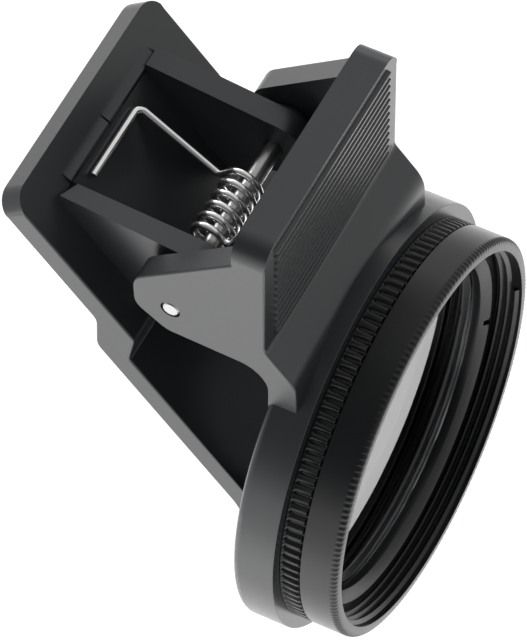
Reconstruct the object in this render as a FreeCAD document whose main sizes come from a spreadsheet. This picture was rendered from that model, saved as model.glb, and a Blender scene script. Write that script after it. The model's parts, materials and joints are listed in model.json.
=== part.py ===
import FreeCAD, Part
import math
import os
import re
import Sketcher

# Clip-on phone filter: a sprung clip whose front arm ends in a threaded collar,
# with a 37 mm rotating filter screwed into it.
# Millimetres. The origin is on the filter's axis, in the plane where the phone is gripped.
# +X runs along the hinge pin, +Y points from the filter towards the phone's far side,
# +Z points up to the two levers that the fingers squeeze.

# Name, value and meaning of each driving size
SIZES = [
    ("arm_width", 25.4, "width of both arms along the pin"),
    ("thread_radius", 18.5, "radius of the 37 mm thread that joins collar and filter"),
    ("collar_wall", 2.3, "wall of the collar round that thread"),
    ("collar_depth", 4.19, "collar from its front face to its rear face"),
    ("collar_round", 0.8, "rounding of the collar's rear edge"),
    ("collar_bevel", 0.3, "bevel of the collar's front edge"),
    ("window_radius", 10, "hole in the web behind the filter, for the phone's lens"),
    ("pad_proud", 0.5, "how far each rubber pad stands out of its seat"),
    ("pad_seat", 0.5, "depth of each rubber pad's seat"),
    ("pad_slack", 0.05, "gap round each rubber pad in its seat"),
    ("window_land", 1, "plain web between the window and the ring pad's seat"),
    ("pad_margin", 0.5, "ring pad's seat inside the thread's radius"),
    ("neck_recess", 1.31, "neck's front face behind the collar's front face"),
    ("neck_sink", 2.47, "neck's foot under the height at which its sides meet the collar's rim"),
    ("neck_low", 20.3, "height where the neck starts to sweep forward and up"),
    ("neck_high", 24, "height where the sweep meets the lever's front"),
    ("neck_round", 3.9, "rounding where the neck starts to sweep, on its front face"),
    ("sweep_drop", 0.42, "the same place on the neck's rear face is this much lower"),
    ("sweep_rise", 0.2, "the sweep's upper end on the rear face is this much higher"),
    ("lever_round", 1.3, "rounding where the sweep meets the lever's front"),
    ("lever_top", 38.2, "height of the front lever's top edge"),
    ("lever_set", 2.58, "lever's front face at its top, behind the neck's front face"),
    ("lever_lean", 1.53, "degrees that the lever leans forward towards its top"),
    ("lever_thick", 3.3, "thickness of the front lever"),
    ("lever_web", 2.6, "thickness of the neck where it sweeps forward"),
    ("lever_corner", 2.3, "corner radius at the lever's top, seen from the front"),
    ("ear_thick", 2.5, "thickness of each ear of the front arm"),
    ("ear_drop", 3, "ear's upper edge starts this far under the lever's top"),
    ("ear_nose", 3.7, "ear beyond the pin's axis"),
    ("ear_brow", 2.5, "ear's upper edge ends this far above the pin"),
    ("ear_chin", 1.2, "ear's nose ends this far under the pin"),
    ("ear_under", 3.45, "ear's lower edge under the pin, at the pin"),
    ("ear_root", 3.95, "ear's lower edge under the pin, at the neck"),
    ("ear_knee", 0.6, "bend of the ear's lower edge behind the pin"),
    ("ear_root_round", 2.8, "rounding between the neck and the ear's lower edge"),
    ("ear_knee_round", 2.2, "rounding of that bend"),
    ("ear_nose_round", 1.85, "rounding at the foot of the ear's nose"),
    ("ear_brow_round", 2.6, "rounding at the top of the ear's nose"),
    ("pin_height", 24.7, "hinge pin above the filter's axis"),
    ("pin_back", 8.85, "hinge pin behind the gripping plane"),
    ("pin_radius", 0.9, "radius of the hinge pin"),
    ("pin_slack", 0.07, "gap round the pin in its holes"),
    ("pin_bevel", 0.2, "bevel at the pin's ends"),
    ("grip_border", 1.9, "plain border beside the grip ridges"),
    ("grip_top", 1.3, "first ridge under the lever's top"),
    ("ridge_pitch", 1, "spacing of the grip ridges"),
    ("ridge_count", 13, "number of grip ridges"),
    ("ridge_foot", 0.6, "width of a ridge at its foot"),
    ("ridge_crest", 0.25, "width of a ridge at its crest"),
    ("ridge_height", 0.35, "height of a ridge"),
    ("ridge_sink", 0.1, "how deep a ridge's foot is sunk in the lever"),
    ("rear_lean", 38.37, "degrees that the rear arm leans back from upright"),
    ("rear_width", 25.8, "width of the rear arm's plate"),
    ("rear_reach", 15.05, "rear arm's top edge along the plate from the pin"),
    ("rear_set", 7.4, "inner face of the rear lever from the pin's axis"),
    ("rear_thick", 2.42, "thickness of the rear arm's plate"),
    ("rear_jog", 2.55, "outward step from the lever to the jaw"),
    ("jog_high", 0.1, "start of the step under the pin, on the outer face"),
    ("jog_low", 3, "end of the step under the pin, on the outer face"),
    ("jog_inset", 3.1, "how much further down the step starts on the inner face"),
    ("jog_end_inset", 2.3, "how much further down the step ends on the inner face"),
    ("jog_outer_round", 1.7, "rounding of the step's bends on the outer face"),
    ("jog_inner_round", 0.7, "rounding of the step's bends on the inner face"),
    ("rear_corner", 2.1, "corner radius at the rear lever's top"),
    ("jaw_short", 4.8, "rear jaw's end above the collar's lowest point"),
    ("jaw_thick", 2.2, "thickness of the rear jaw's foot"),
    ("jaw_corner", 4, "corner radius at the rear jaw's end"),
    ("heel_outer_round", 4, "rounding between jaw and foot, on the outer face"),
    ("heel_inner_round", 1.3, "rounding between jaw and foot, on the inner face"),
    ("jaw_gap", 0.1, "gap between the pads when the clip is closed"),
    ("rear_pad_width", 18, "width of the rear pad's seat"),
    ("pad_toe", 1.5, "rear pad's seat above the jaw's end"),
    ("rear_pad_length", 10, "length of the rear pad's seat"),
    ("rear_pad_corner", 2.5, "corner radius of the rear pad"),
    ("cheek_gap", 1.05, "gap between each cheek and its ear"),
    ("cheek_thick", 2.25, "thickness of each cheek of the rear arm"),
    ("cheek_radius", 3.4, "rounded front end of a cheek round the pin"),
    ("cheek_rise", 6.9, "degrees that a cheek's upper edge rises to the rear"),
    ("cheek_length", 12.6, "end of that edge behind the pin, just short of the plate"),
    ("cheek_foot", 2, "cheek's lower edge meets the plate this far under the pin"),
    ("boss_radius", 2.4, "radius of the spacer boss on each cheek"),
    ("boss_slack", 0.1, "side gap between a boss and its ear"),
    ("rib_reach", 8.5, "half length of the cross rib on the rear lever's inner face"),
    ("rib_top", 13.38, "upper edge of the rib along the plate from the pin"),
    ("rib_crest", 12.81, "crest of the rib along the plate from the pin"),
    ("rib_foot", 10.97, "lower edge of the rib along the plate from the pin"),
    ("rib_proud", 0.48, "how far the rib's crest stands off the plate"),
    ("rib_notch", 1.2, "width of the notch in the middle of the rib"),
    ("wire_radius", 0.3, "radius of the spring's wire"),
    ("coil_radius", 1.75, "mean radius of the spring's coil"),
    ("coil_back", 0.26, "coil's middle behind the pin's axis"),
    ("coil_up", 0.41, "coil's middle above the pin's axis"),
    ("coil_gap", 1.99, "near end of the coil from the cheek on the side towards -X"),
    ("coil_pitch", 1.31, "spacing of the coil's turns"),
    ("coil_turns", 5, "whole turns of the coil"),
    ("coil_exit", 40, "degrees from the horizontal at which each leg leaves"),
    ("front_stub", 1.05, "straight wire from the coil to the front leg's bend"),
    ("rear_stub", 2.1, "straight wire from the coil to the rear leg's bend"),
    ("front_hook_up", 9.3, "front leg's cross piece above the pin"),
    ("front_hook_reach", 3, "end of the front leg's cross piece, towards +X"),
    ("rear_hook_along", 9.85, "rear leg's cross piece along the plate from the pin"),
    ("rear_hook_start", 3.6, "rear leg's bend from the middle, towards +X"),
    ("rear_hook_gap", 2, "end of the rear leg's cross piece from the cheek towards -X"),
    ("wire_rest", 0.05, "gap between a leg and the face it presses on"),
    ("bend_radius", 0.75, "radius of the wire's bends along its middle"),
    ("ring_step", 1, "outside of the filter's two rings beyond the thread's radius"),
    ("flange_depth", 1.9, "knurled part of the filter's base ring"),
    ("thread_slack", 0.05, "gap in the thread between filter and collar"),
    ("thread_length", 2, "length of the base ring's thread"),
    ("thread_runout", 0.15, "room left behind the base ring in the collar"),
    ("slot_count", 120, "knurl slots round the base ring"),
    ("slot_width", 0.5, "width of a knurl slot"),
    ("slot_depth", 0.45, "depth of a knurl slot"),
    ("slot_land", 0.4, "plain strip between the slots and the collar"),
    ("turn_gap", 0.1, "gap between the base ring and the rotating ring"),
    ("front_depth", 3.66, "visible depth of the rotating front ring"),
    ("lip_round", 0.45, "rounding of the front ring's outer edge"),
    ("lip_step", 0.15, "mouth of the front ring inside the thread's radius"),
    ("thread_depth", 0.45, "depth of the front ring's inner thread"),
    ("lip_bevel", 0.3, "depth of the bevel inside the front ring's lip"),
    ("front_thread", 2.46, "front ring's inner thread, measured from its front face"),
    ("base_wall", 0.8, "wall of the base ring between its thread and its bore"),
    ("spigot_wall", 0.4, "wall of the front ring's sleeve round the retaining ring"),
    ("retainer_width", 1.17, "bore of the retaining ring inside its seat"),
    ("retainer_cone", 0.64, "depth of the retaining ring's conical face"),
    ("retainer_depth", 1.45, "depth of the retaining ring"),
    ("retainer_slack", 0.05, "gap round the retaining ring in its seat"),
    ("notch_width", 0.7, "width of the retaining ring's two spanner notches"),
    ("notch_depth", 0.6, "depth of the spanner notches"),
    ("notch_length", 0.7, "spanner notches inwards from the ring's seat"),
    ("notch_turn", -14, "degrees that the spanner notches are turned from +X"),
    ("glass_step", 0.6, "filter glass inside the retaining ring's seat"),
    ("glass_bevel", 0.15, "bevel at the filter glass's edges"),
    ("glass_thick", 1.65, "thickness of the filter glass"),
    ("glass_slack", 0.05, "gap round the filter glass"),
    ("ledge_width", 0.8, "ledge behind the filter glass"),
    ("spigot_length", 2.5, "length of the front ring's sleeve inside the base ring"),
    ("spigot_slack", 0.1, "gap between the sleeve and the base ring"),
    ("base_lip", 1.5, "inner lip at the rear of the base ring"),
    ("snap_wire_radius", 0.28, "radius of the snap ring's wire"),
    ("snap_place", 0.95, "middle of the snap ring behind the base ring's front face"),
    ("snap_groove", 0.7, "width of the grooves that hold the snap ring"),
    ("snap_depth", 0.3, "depth of each of those grooves"),
    ("snap_opening", 14, "degrees of the opening in the snap ring"),
    ("overcut", 1, "how far a cut runs past the faces that it opens"),
]

doc = FreeCAD.newDocument("clip_on_filter")
sheet = doc.addObject("Spreadsheet::Sheet", "Sizes")
for row, (alias, size, meaning) in enumerate(SIZES, start=1):
    sheet.set("A%d" % row, alias)
    sheet.set("B%d" % row, str(size))
    sheet.set("C%d" % row, meaning)
    sheet.setAlias("B%d" % row, alias)
doc.recompute()

SIZE_WORDS = re.compile(r"\b(" + "|".join(name for name, size, meaning in SIZES) + r")\b")


def formula(text):
    """A formula in size names, written so that the sheet's cells are found."""
    return SIZE_WORDS.sub(r"Sizes.\1", str(text))


def value(text):
    """The number that a formula gives now."""
    return float(sheet.evalExpression(formula(text)))


def bind(thing, name, text):
    """Ties one property of an object to a formula in sizes."""
    thing.setExpression(name, formula(text))


def new_body(label):
    body = doc.addObject("PartDesign::Body", label)
    body.Label = label
    return body


def plane_of(body, role):
    """One of the body's own origin planes."""
    return [item for item in body.Origin.OriginFeatures if item.Role == role][0]


def new_sketch(body, name, role, offset="0"):
    """An empty sketch on an origin plane, moved along its normal by a formula."""
    sketch = body.newObject("Sketcher::SketchObject", name)
    sketch.AttachmentSupport = [(plane_of(body, role), "")]
    sketch.MapMode = "FlatFace"
    if offset != "0":
        bind(sketch, "AttachmentOffset.Base.z", offset)
    return sketch


def place_point(sketch, geometry, corner, across, up):
    """Fixes one point of a sketch at two formulas from the origin."""
    for kind, text in (("DistanceX", across), ("DistanceY", up)):
        number = sketch.addConstraint(
            Sketcher.Constraint(kind, -1, 1, geometry, corner, value(text)))
        bind(sketch, "Constraints[%d]" % number, text)


def outline(body, name, role, corners, offset="0"):
    """A closed outline through corners given as formula pairs; a third formula rounds a corner."""
    sketch = new_sketch(body, name, role, offset)
    places = [FreeCAD.Vector(value(corner[0]), value(corner[1]), 0) for corner in corners]
    count = len(places)
    starts = list(places)
    ends = list(places)
    arcs = {}
    for index, corner in enumerate(corners):
        if len(corner) == 3:
            place = places[index]
            coming = (place - places[index - 1]).normalize()
            going = (places[(index + 1) % count] - place).normalize()
            left_turn = coming.cross(going).z > 0
            turned = coming.getAngle(going)
            radius = value(corner[2])
            cut = radius * math.tan(turned / 2)
            ends[index] = place - coming * cut
            starts[index] = place + going * cut
            sideways = FreeCAD.Vector(-coming.y, coming.x, 0) * (1 if left_turn else -1)
            middle = ends[index] + sideways * radius
            first, last = (ends[index], starts[index]) if left_turn else (starts[index], ends[index])
            arcs[index] = (middle, radius, first, last, left_turn)
    for index in range(count):
        sketch.addGeometry(Part.LineSegment(starts[index], ends[(index + 1) % count]), False)
    for index in range(count):
        before = (index - 1) % count
        across, up = corners[index][0], corners[index][1]
        if index in arcs:
            middle, radius, first, last, left_turn = arcs[index]
            ring = Part.Circle(middle, FreeCAD.Vector(0, 0, 1), radius)
            begin = math.atan2(first.y - middle.y, first.x - middle.x)
            finish = math.atan2(last.y - middle.y, last.x - middle.x)
            if finish < begin:
                finish += 2 * math.pi
            arc = sketch.addGeometry(Part.ArcOfCircle(ring, begin, finish), False)
            entry, leave = (1, 2) if left_turn else (2, 1)
            sketch.addConstraint(Sketcher.Constraint("Tangent", before, 2, arc, entry))
            sketch.addConstraint(Sketcher.Constraint("Tangent", arc, leave, index, 1))
            number = sketch.addConstraint(Sketcher.Constraint("Radius", arc, radius))
            bind(sketch, "Constraints[%d]" % number, corners[index][2])
            corner = sketch.addGeometry(Part.Point(places[index]), True)
            sketch.addConstraint(Sketcher.Constraint("PointOnObject", corner, 1, before))
            sketch.addConstraint(Sketcher.Constraint("PointOnObject", corner, 1, index))
            place_point(sketch, corner, 1, across, up)
        else:
            sketch.addConstraint(Sketcher.Constraint("Coincident", before, 2, index, 1))
            place_point(sketch, index, 1, across, up)
    return sketch


def circle(body, name, role, across, up, radius, offset="0"):
    """A circle whose middle and radius are formulas."""
    sketch = new_sketch(body, name, role, offset)
    middle = FreeCAD.Vector(value(across), value(up), 0)
    sketch.addGeometry(Part.Circle(middle, FreeCAD.Vector(0, 0, 1), value(radius)), False)
    place_point(sketch, 0, 3, across, up)
    number = sketch.addConstraint(Sketcher.Constraint("Radius", 0, value(radius)))
    bind(sketch, "Constraints[%d]" % number, radius)
    return sketch


def extrude(body, kind, sketch, length, side="Symmetric", reverse=False):
    """A Pad or a Pocket of a sketch."""
    feature = body.newObject("PartDesign::" + kind, sketch.Name + kind)
    feature.Profile = sketch
    feature.SideType = side
    feature.Reversed = reverse
    bind(feature, "Length", length)
    return feature


def turn(body, kind, sketch, angle="360"):
    """A Revolution or a Groove of a sketch about the filter's axis, Y."""
    feature = body.newObject("PartDesign::" + kind, sketch.Name + kind)
    feature.Profile = sketch
    feature.ReferenceAxis = (sketch, ["V_Axis"])
    bind(feature, "Angle", angle)
    return feature


def edges_through(base, places):
    """Names of the edges of a feature that pass through the given places."""
    doc.recompute()
    found = []
    for place in places:
        corner = Part.Vertex(*[value(text) for text in place])
        gaps = [edge.distToShape(corner)[0] for edge in base.Shape.Edges]
        nearest = gaps.index(min(gaps))
        found.append("Edge%d" % (nearest + 1))
    return found


def soften(body, kind, name, base, places, size):
    """A Fillet or a Chamfer of the edges that pass through the given places."""
    names = edges_through(base, places)
    feature = body.newObject("PartDesign::" + kind, name)
    feature.Base = (base, names)
    bind(feature, "Radius" if kind == "Fillet" else "Size", size)
    return feature


# Planes and faces that several pieces share, as formulas
COLLAR_REAR = "(-pad_proud)"
COLLAR_FRONT = "(-pad_proud - collar_depth)"
NECK_FRONT = "(-pad_proud - collar_depth + neck_recess)"
CHEEK_INSIDE = "(arm_width / 2 - ear_thick - cheek_gap - cheek_thick)"
COIL_NEAR = "(arm_width / 2 - ear_thick - cheek_gap - cheek_thick - coil_gap)"
HOOK_END = "(arm_width / 2 - ear_thick - cheek_gap - cheek_thick - rear_hook_gap)"
PIN_HOLE = "(pin_radius + pin_slack)"
COLLAR_OUTSIDE = "(thread_radius + collar_wall)"
NECK_FOOT = "(sqrt((thread_radius + collar_wall)^2 - (arm_width / 2)^2) - neck_sink)"
RINGS_OUTSIDE = "(thread_radius + ring_step)"
SPIGOT_BORE = "(thread_radius - base_wall)"
SPIGOT_OUTSIDE = "(thread_radius - base_wall - spigot_slack)"
RETAINER_SEAT = "(thread_radius - base_wall - spigot_slack - spigot_wall)"
GLASS_OUTSIDE = RETAINER_SEAT + " - glass_step"
PAD_INSIDE = "(window_radius + window_land)"
PAD_OUTSIDE = "(thread_radius - pad_margin)"
BASE_FRONT = "(-pad_proud - collar_depth - flange_depth)"
RING_REAR = "(-pad_proud - collar_depth - flange_depth - turn_gap)"
RING_FRONT = "(-pad_proud - collar_depth - flange_depth - turn_gap - front_depth)"
GLASS_FRONT = RING_FRONT + " + front_thread + retainer_depth + retainer_slack"
GLASS_REAR = GLASS_FRONT + " + glass_thick + glass_slack"


def lever_face(height):
    """Place along Y of the front lever's front face at a height."""
    return NECK_FRONT + " + lever_set + (lever_top - (%s)) * tan(lever_lean * 1deg)" % height


def lever_back(height):
    """Place along Y of the front lever's rear face at a height."""
    return lever_face(height) + " + lever_thick"


def on_rear(along, out):
    """A point given along the rear lever and outwards from the pin's axis."""
    back = "pin_back + (%s) * sin(rear_lean * 1deg) + (%s) * cos(rear_lean * 1deg)"
    up = "pin_height + (%s) * cos(rear_lean * 1deg) - (%s) * sin(rear_lean * 1deg)"
    return back % (along, out), up % (along, out)


def rear_crossing(out, back):
    """Height at which a line along the rear jaw, out from the pin, reaches a place in Y."""
    text = "pin_height + ((%s) - pin_back) / tan(rear_lean * 1deg) - (%s) / sin(rear_lean * 1deg)"
    return text % (back, out)


# The front arm is one moulding: lever, two ears, neck and threaded collar

front_arm = new_body("front_arm")
EAR_END = "(pin_back + ear_nose)"
EAR_START = "(lever_top - ear_drop)"
SWEEP_BACK = "(neck_low - sweep_drop)"
side_corners = [
    (lever_face("lever_top"), "lever_top"),
    (NECK_FRONT + " + lever_set + (lever_top - neck_high) * tan(lever_lean * 1deg)", "neck_high",
     "lever_round"),
    (NECK_FRONT, "neck_low", "neck_round"),
    (NECK_FRONT, NECK_FOOT),
    (COLLAR_REAR, NECK_FOOT),
    (COLLAR_REAR, "pin_height - ear_root", "ear_root_round"),
    ("pin_back + ear_knee", "pin_height - ear_under", "ear_knee_round"),
    (EAR_END, "pin_height - ear_chin", "ear_nose_round"),
    (EAR_END, "pin_height + ear_brow", "ear_brow_round"),
    (lever_back(EAR_START), EAR_START),
    (lever_back("lever_top"), "lever_top"),
]
arm_side = outline(front_arm, "arm_side", "YZ_Plane", side_corners)
arm_pad = extrude(front_arm, "Pad", arm_side, "arm_width")

# The space between the ears leaves the lever's plate and the swept neck in front of it
SPACE_END = "(pin_back + ear_nose + overcut)"
space_corners = [
    (lever_back("lever_top + overcut"), "lever_top + overcut"),
    (lever_back("neck_high + sweep_rise"), "neck_high + sweep_rise", "lever_web"),
    (COLLAR_REAR, SWEEP_BACK, "lever_web"),
    (COLLAR_REAR, NECK_FOOT + " + overcut"),
    (SPACE_END, NECK_FOOT + " + overcut"),
    (SPACE_END, "lever_top + overcut"),
]
ear_space = outline(front_arm, "ear_space", "YZ_Plane", space_corners)
space_cut = extrude(front_arm, "Pocket", ear_space, "arm_width - 2 * ear_thick")
top_corners = [(side + "arm_width / 2", lever_face("lever_top") + " + lever_thick / 2", "lever_top")
               for side in ("", "-")]
corner_round = soften(front_arm, "Fillet", "corner_round", space_cut, top_corners, "lever_corner")

collar_disc = circle(front_arm, "collar_disc", "XZ_Plane", "0", "0", COLLAR_OUTSIDE, "pad_proud")
collar_pad = extrude(front_arm, "Pad", collar_disc, "collar_depth", "One side")

BORE_END = COLLAR_FRONT + " + thread_length + thread_runout"
bore_corners = [
    ("0", COLLAR_FRONT + " - overcut"),
    ("thread_radius", COLLAR_FRONT + " - overcut"),
    ("thread_radius", BORE_END),
    ("window_radius", BORE_END),
    ("window_radius", "overcut"),
    ("0", "overcut"),
]
collar_bore = outline(front_arm, "collar_bore", "XY_Plane", bore_corners)
bore_cut = turn(front_arm, "Groove", collar_bore)
seat_corners = [
    (PAD_INSIDE, COLLAR_REAR + " - pad_seat"),
    (PAD_OUTSIDE, COLLAR_REAR + " - pad_seat"),
    (PAD_OUTSIDE, "overcut"),
    (PAD_INSIDE, "overcut"),
]
ring_seat = outline(front_arm, "ring_seat", "XY_Plane", seat_corners)
seat_cut = turn(front_arm, "Groove", ring_seat)

rear_rim = [("0", COLLAR_REAR, "-" + COLLAR_OUTSIDE)]
rim_round = soften(front_arm, "Fillet", "rim_round", seat_cut, rear_rim, "collar_round")
front_rim = [("0", COLLAR_FRONT, "-" + COLLAR_OUTSIDE)]
rim_bevel = soften(front_arm, "Chamfer", "rim_bevel", rim_round, front_rim, "collar_bevel")

ear_hole = circle(front_arm, "ear_hole", "YZ_Plane", "pin_back", "pin_height", PIN_HOLE)
hole_cut = extrude(front_arm, "Pocket", ear_hole, "arm_width + 2 * overcut")

# One grip ridge, sunk a little into the lever, and its copies down the lever's face
RIDGE_AT = "(lever_top - grip_top)"
ridge_corners = [
    (lever_face(RIDGE_AT) + " + ridge_sink", RIDGE_AT + " + ridge_foot / 2"),
    (lever_face(RIDGE_AT) + " + ridge_sink", RIDGE_AT + " - ridge_foot / 2"),
    (lever_face(RIDGE_AT) + " - ridge_height", RIDGE_AT + " - ridge_crest / 2"),
    (lever_face(RIDGE_AT) + " - ridge_height", RIDGE_AT + " + ridge_crest / 2"),
]
ridge = outline(front_arm, "ridge", "YZ_Plane", ridge_corners)
slope = ridge.addGeometry(Part.LineSegment(
    FreeCAD.Vector(value(lever_face("lever_top")), value("lever_top"), 0),
    FreeCAD.Vector(value(lever_face("neck_high")), value("neck_high"), 0)), True)
place_point(ridge, slope, 1, lever_face("lever_top"), "lever_top")
place_point(ridge, slope, 2, lever_face("neck_high"), "neck_high")
ridge_pad = extrude(front_arm, "Pad", ridge, "arm_width - 2 * grip_border")
doc.recompute()
ridges = front_arm.newObject("PartDesign::LinearPattern", "ridges")
ridges.Originals = [ridge_pad]
ridges.Direction = (ridge, ["Axis0"])
bind(ridges, "Length", "(ridge_count - 1) * ridge_pitch")
bind(ridges, "Occurrences", "ridge_count")
front_arm.Tip = ridges

# The rear arm is one moulding: lever, stepped jaw, foot, two cheeks and a cross rib

rear_arm = new_body("rear_arm")
FOOT_IN = "(jaw_gap + pad_proud)"
FOOT_OUT = "(jaw_gap + pad_proud + jaw_thick)"
JAW_END = "(jaw_short - thread_radius - collar_wall)"
PAD_LOW = "(jaw_short - thread_radius - collar_wall + pad_toe)"
PAD_TOP = "(jaw_short - thread_radius - collar_wall + pad_toe + rear_pad_length)"
JAW_IN = "(rear_set + rear_jog)"
JAW_OUT = "(rear_set + rear_jog + rear_thick)"
plate_corners = [
    on_rear("rear_reach", "rear_set"),
    on_rear("rear_reach", "rear_set + rear_thick"),
    on_rear("-jog_high", "rear_set + rear_thick") + ("jog_outer_round",),
    on_rear("-jog_low", JAW_OUT) + ("jog_outer_round",),
    (FOOT_OUT, rear_crossing(JAW_OUT, FOOT_OUT), "heel_outer_round"),
    (FOOT_OUT, JAW_END),
    (FOOT_IN, JAW_END),
    (FOOT_IN, rear_crossing(JAW_IN, FOOT_IN), "heel_inner_round"),
    on_rear("-jog_low - jog_end_inset", JAW_IN) + ("jog_inner_round",),
    on_rear("-jog_high - jog_inset", "rear_set") + ("jog_inner_round",),
]
plate_side = outline(rear_arm, "plate_side", "YZ_Plane", plate_corners)
plate_pad = extrude(rear_arm, "Pad", plate_side, "rear_width")

lever_corners = []
toe_corners = []
for side in ("", "-"):
    lever_corners.append((side + "rear_width / 2",) + on_rear("rear_reach", "rear_set + rear_thick / 2"))
    toe_corners.append((side + "rear_width / 2", FOOT_IN + " + jaw_thick / 2", JAW_END))
tip_round = soften(rear_arm, "Fillet", "tip_round", plate_pad, lever_corners, "rear_corner")
toe_round = soften(rear_arm, "Fillet", "toe_round", tip_round, toe_corners, "jaw_corner")

# Cheeks: the lug round the pin blends into an upper edge that rises to the rear
CHEEK_SINK = "(rear_set + rear_thick / 2)"
cheek_corners = [
    ("pin_back - cheek_radius * sin(cheek_rise * 1deg)",
     "pin_height + cheek_radius * cos(cheek_rise * 1deg)"),
    ("pin_back + cheek_length",
     "pin_height + cheek_radius / cos(cheek_rise * 1deg) + cheek_length * tan(cheek_rise * 1deg)"),
    on_rear("rear_hook_along", CHEEK_SINK),
    on_rear("-cheek_foot", CHEEK_SINK),
    ("pin_back", "pin_height - cheek_radius"),
]
cheek = outline(rear_arm, "cheek", "YZ_Plane", cheek_corners, CHEEK_INSIDE)
cheek_pad = extrude(rear_arm, "Pad", cheek, "cheek_thick", "One side")
lug = circle(rear_arm, "lug", "YZ_Plane", "pin_back", "pin_height", "cheek_radius", CHEEK_INSIDE)
lug_pad = extrude(rear_arm, "Pad", lug, "cheek_thick", "One side")
boss = circle(rear_arm, "boss", "YZ_Plane", "pin_back", "pin_height", "boss_radius", CHEEK_INSIDE)
boss_pad = extrude(rear_arm, "Pad", boss, "cheek_thick + cheek_gap - boss_slack", "One side")
doc.recompute()
far_side = rear_arm.newObject("PartDesign::Mirrored", "far_side")
far_side.Originals = [cheek_pad, lug_pad, boss_pad]
far_side.MirrorPlane = (plane_of(rear_arm, "YZ_Plane"), [""])
rear_arm.Tip = far_side

# A low rib across the lever's inner face, with a notch in its middle
rib_corners = [
    on_rear("rib_top", CHEEK_SINK),
    on_rear("rib_top", "rear_set"),
    on_rear("rib_crest", "rear_set - rib_proud"),
    on_rear("rib_foot", "rear_set"),
    on_rear("rib_foot", CHEEK_SINK),
]
rib = outline(rear_arm, "rib", "YZ_Plane", rib_corners)
rib_pad = extrude(rear_arm, "Pad", rib, "2 * rib_reach")
rib_gap_corners = [
    on_rear("rib_top + overcut", "rear_set"),
    on_rear("rib_foot - overcut", "rear_set"),
    on_rear("rib_foot - overcut", "rear_set - rib_proud - overcut"),
    on_rear("rib_top + overcut", "rear_set - rib_proud - overcut"),
]
rib_gap = outline(rear_arm, "rib_gap", "YZ_Plane", rib_gap_corners)
rib_cut = extrude(rear_arm, "Pocket", rib_gap, "rib_notch")

lug_hole = circle(rear_arm, "lug_hole", "YZ_Plane", "pin_back", "pin_height", PIN_HOLE)
lug_cut = extrude(rear_arm, "Pocket", lug_hole, "arm_width + 2 * overcut")

rear_seat_corners = [
    (FOOT_IN + " - overcut", PAD_TOP),
    (FOOT_IN + " + pad_seat", PAD_TOP),
    (FOOT_IN + " + pad_seat", PAD_LOW),
    (FOOT_IN + " - overcut", PAD_LOW),
]
rear_seat = outline(rear_arm, "rear_seat", "YZ_Plane", rear_seat_corners)
rear_seat_cut = extrude(rear_arm, "Pocket", rear_seat, "rear_pad_width")
seat_posts = []
for side in ("", "-"):
    for height in (PAD_TOP, PAD_LOW):
        seat_posts.append((side + "rear_pad_width / 2", FOOT_IN + " + pad_seat / 2", height))
seat_round = soften(rear_arm, "Fillet", "seat_round", rear_seat_cut, seat_posts, "rear_pad_corner")

# The hinge pin runs from ear to ear

pin_rod = doc.addObject("Part::Cylinder", "pin_rod")
bind(pin_rod, "Radius", "pin_radius")
bind(pin_rod, "Height", "arm_width")
pivot_pin = doc.addObject("Part::Chamfer", "pivot_pin")
pivot_pin.Label = "pivot_pin"
pivot_pin.Base = pin_rod
doc.recompute()
pivot_pin.Edges = [(index + 1, value("pin_bevel"), value("pin_bevel"))
                   for index, edge in enumerate(pin_rod.Shape.Edges)
                   if edge.Curve.TypeId == "Part::GeomCircle"]
pivot_pin.Placement.Rotation = FreeCAD.Rotation(FreeCAD.Vector(0, 1, 0), 90)
bind(pivot_pin, "Placement.Base.x", "-arm_width / 2")
bind(pivot_pin, "Placement.Base.y", "pin_back")
bind(pivot_pin, "Placement.Base.z", "pin_height")

# The torsion spring is one wire: a cross piece behind the front lever, a leg,
# the coil round the pin, a second leg and a cross piece on the rear lever

COIL_Y = value("pin_back + coil_back")
COIL_Z = value("pin_height + coil_up")


def coil_point(x, degrees):
    """A point on the coil's middle line, by its angle from +Y towards +Z."""
    turned = math.radians(degrees)
    return FreeCAD.Vector(x, COIL_Y + value("coil_radius") * math.cos(turned),
                          COIL_Z + value("coil_radius") * math.sin(turned))


def coil_heading(degrees, towards):
    """Direction of the wire there, towards +X for 1 and towards -X for -1."""
    turned = math.radians(degrees)
    advance = value("coil_pitch") / (2 * math.pi)
    heading = FreeCAD.Vector(advance, value("coil_radius") * math.sin(turned),
                             -value("coil_radius") * math.cos(turned))
    heading.normalize()
    return heading * towards


def bent_wire(corners, radius):
    """Straight runs through the corners, with an arc of one radius at each bend."""
    edges = []
    start = corners[0]
    for before, corner, after in zip(corners, corners[1:], corners[2:]):
        coming = (corner - before).normalize()
        going = (after - corner).normalize()
        turned = coming.getAngle(going)
        cut = radius * math.tan(turned / 2)
        first = corner - coming * cut
        last = corner + going * cut
        inward = (going - coming).normalize()
        middle = corner + inward * (radius / math.cos(turned / 2) - radius)
        edges.append(Part.LineSegment(start, first).toShape())
        edges.append(Part.Arc(first, middle, last).toShape())
        start = last
    edges.append(Part.LineSegment(start, corners[-1]).toShape())
    return Part.Wire(edges)


near_angle = 180 - value("coil_exit")
far_angle = value("coil_exit")
near_end = coil_point(-value(COIL_NEAR), near_angle)
sweep_turns = value("coil_turns") + (near_angle - far_angle) / 360
coil_length = value("coil_pitch") * sweep_turns
far_end = coil_point(coil_length - value(COIL_NEAR), far_angle)

front_bend = near_end + coil_heading(near_angle, -1) * value("front_stub")
hook_z = value("pin_height + front_hook_up")
hook_y = value(lever_back("pin_height + front_hook_up") + " + wire_radius + wire_rest")
front_path = bent_wire([
    near_end,
    front_bend,
    FreeCAD.Vector(front_bend.x, hook_y, hook_z),
    FreeCAD.Vector(value("front_hook_reach"), hook_y, hook_z),
], value("bend_radius"))

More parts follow.
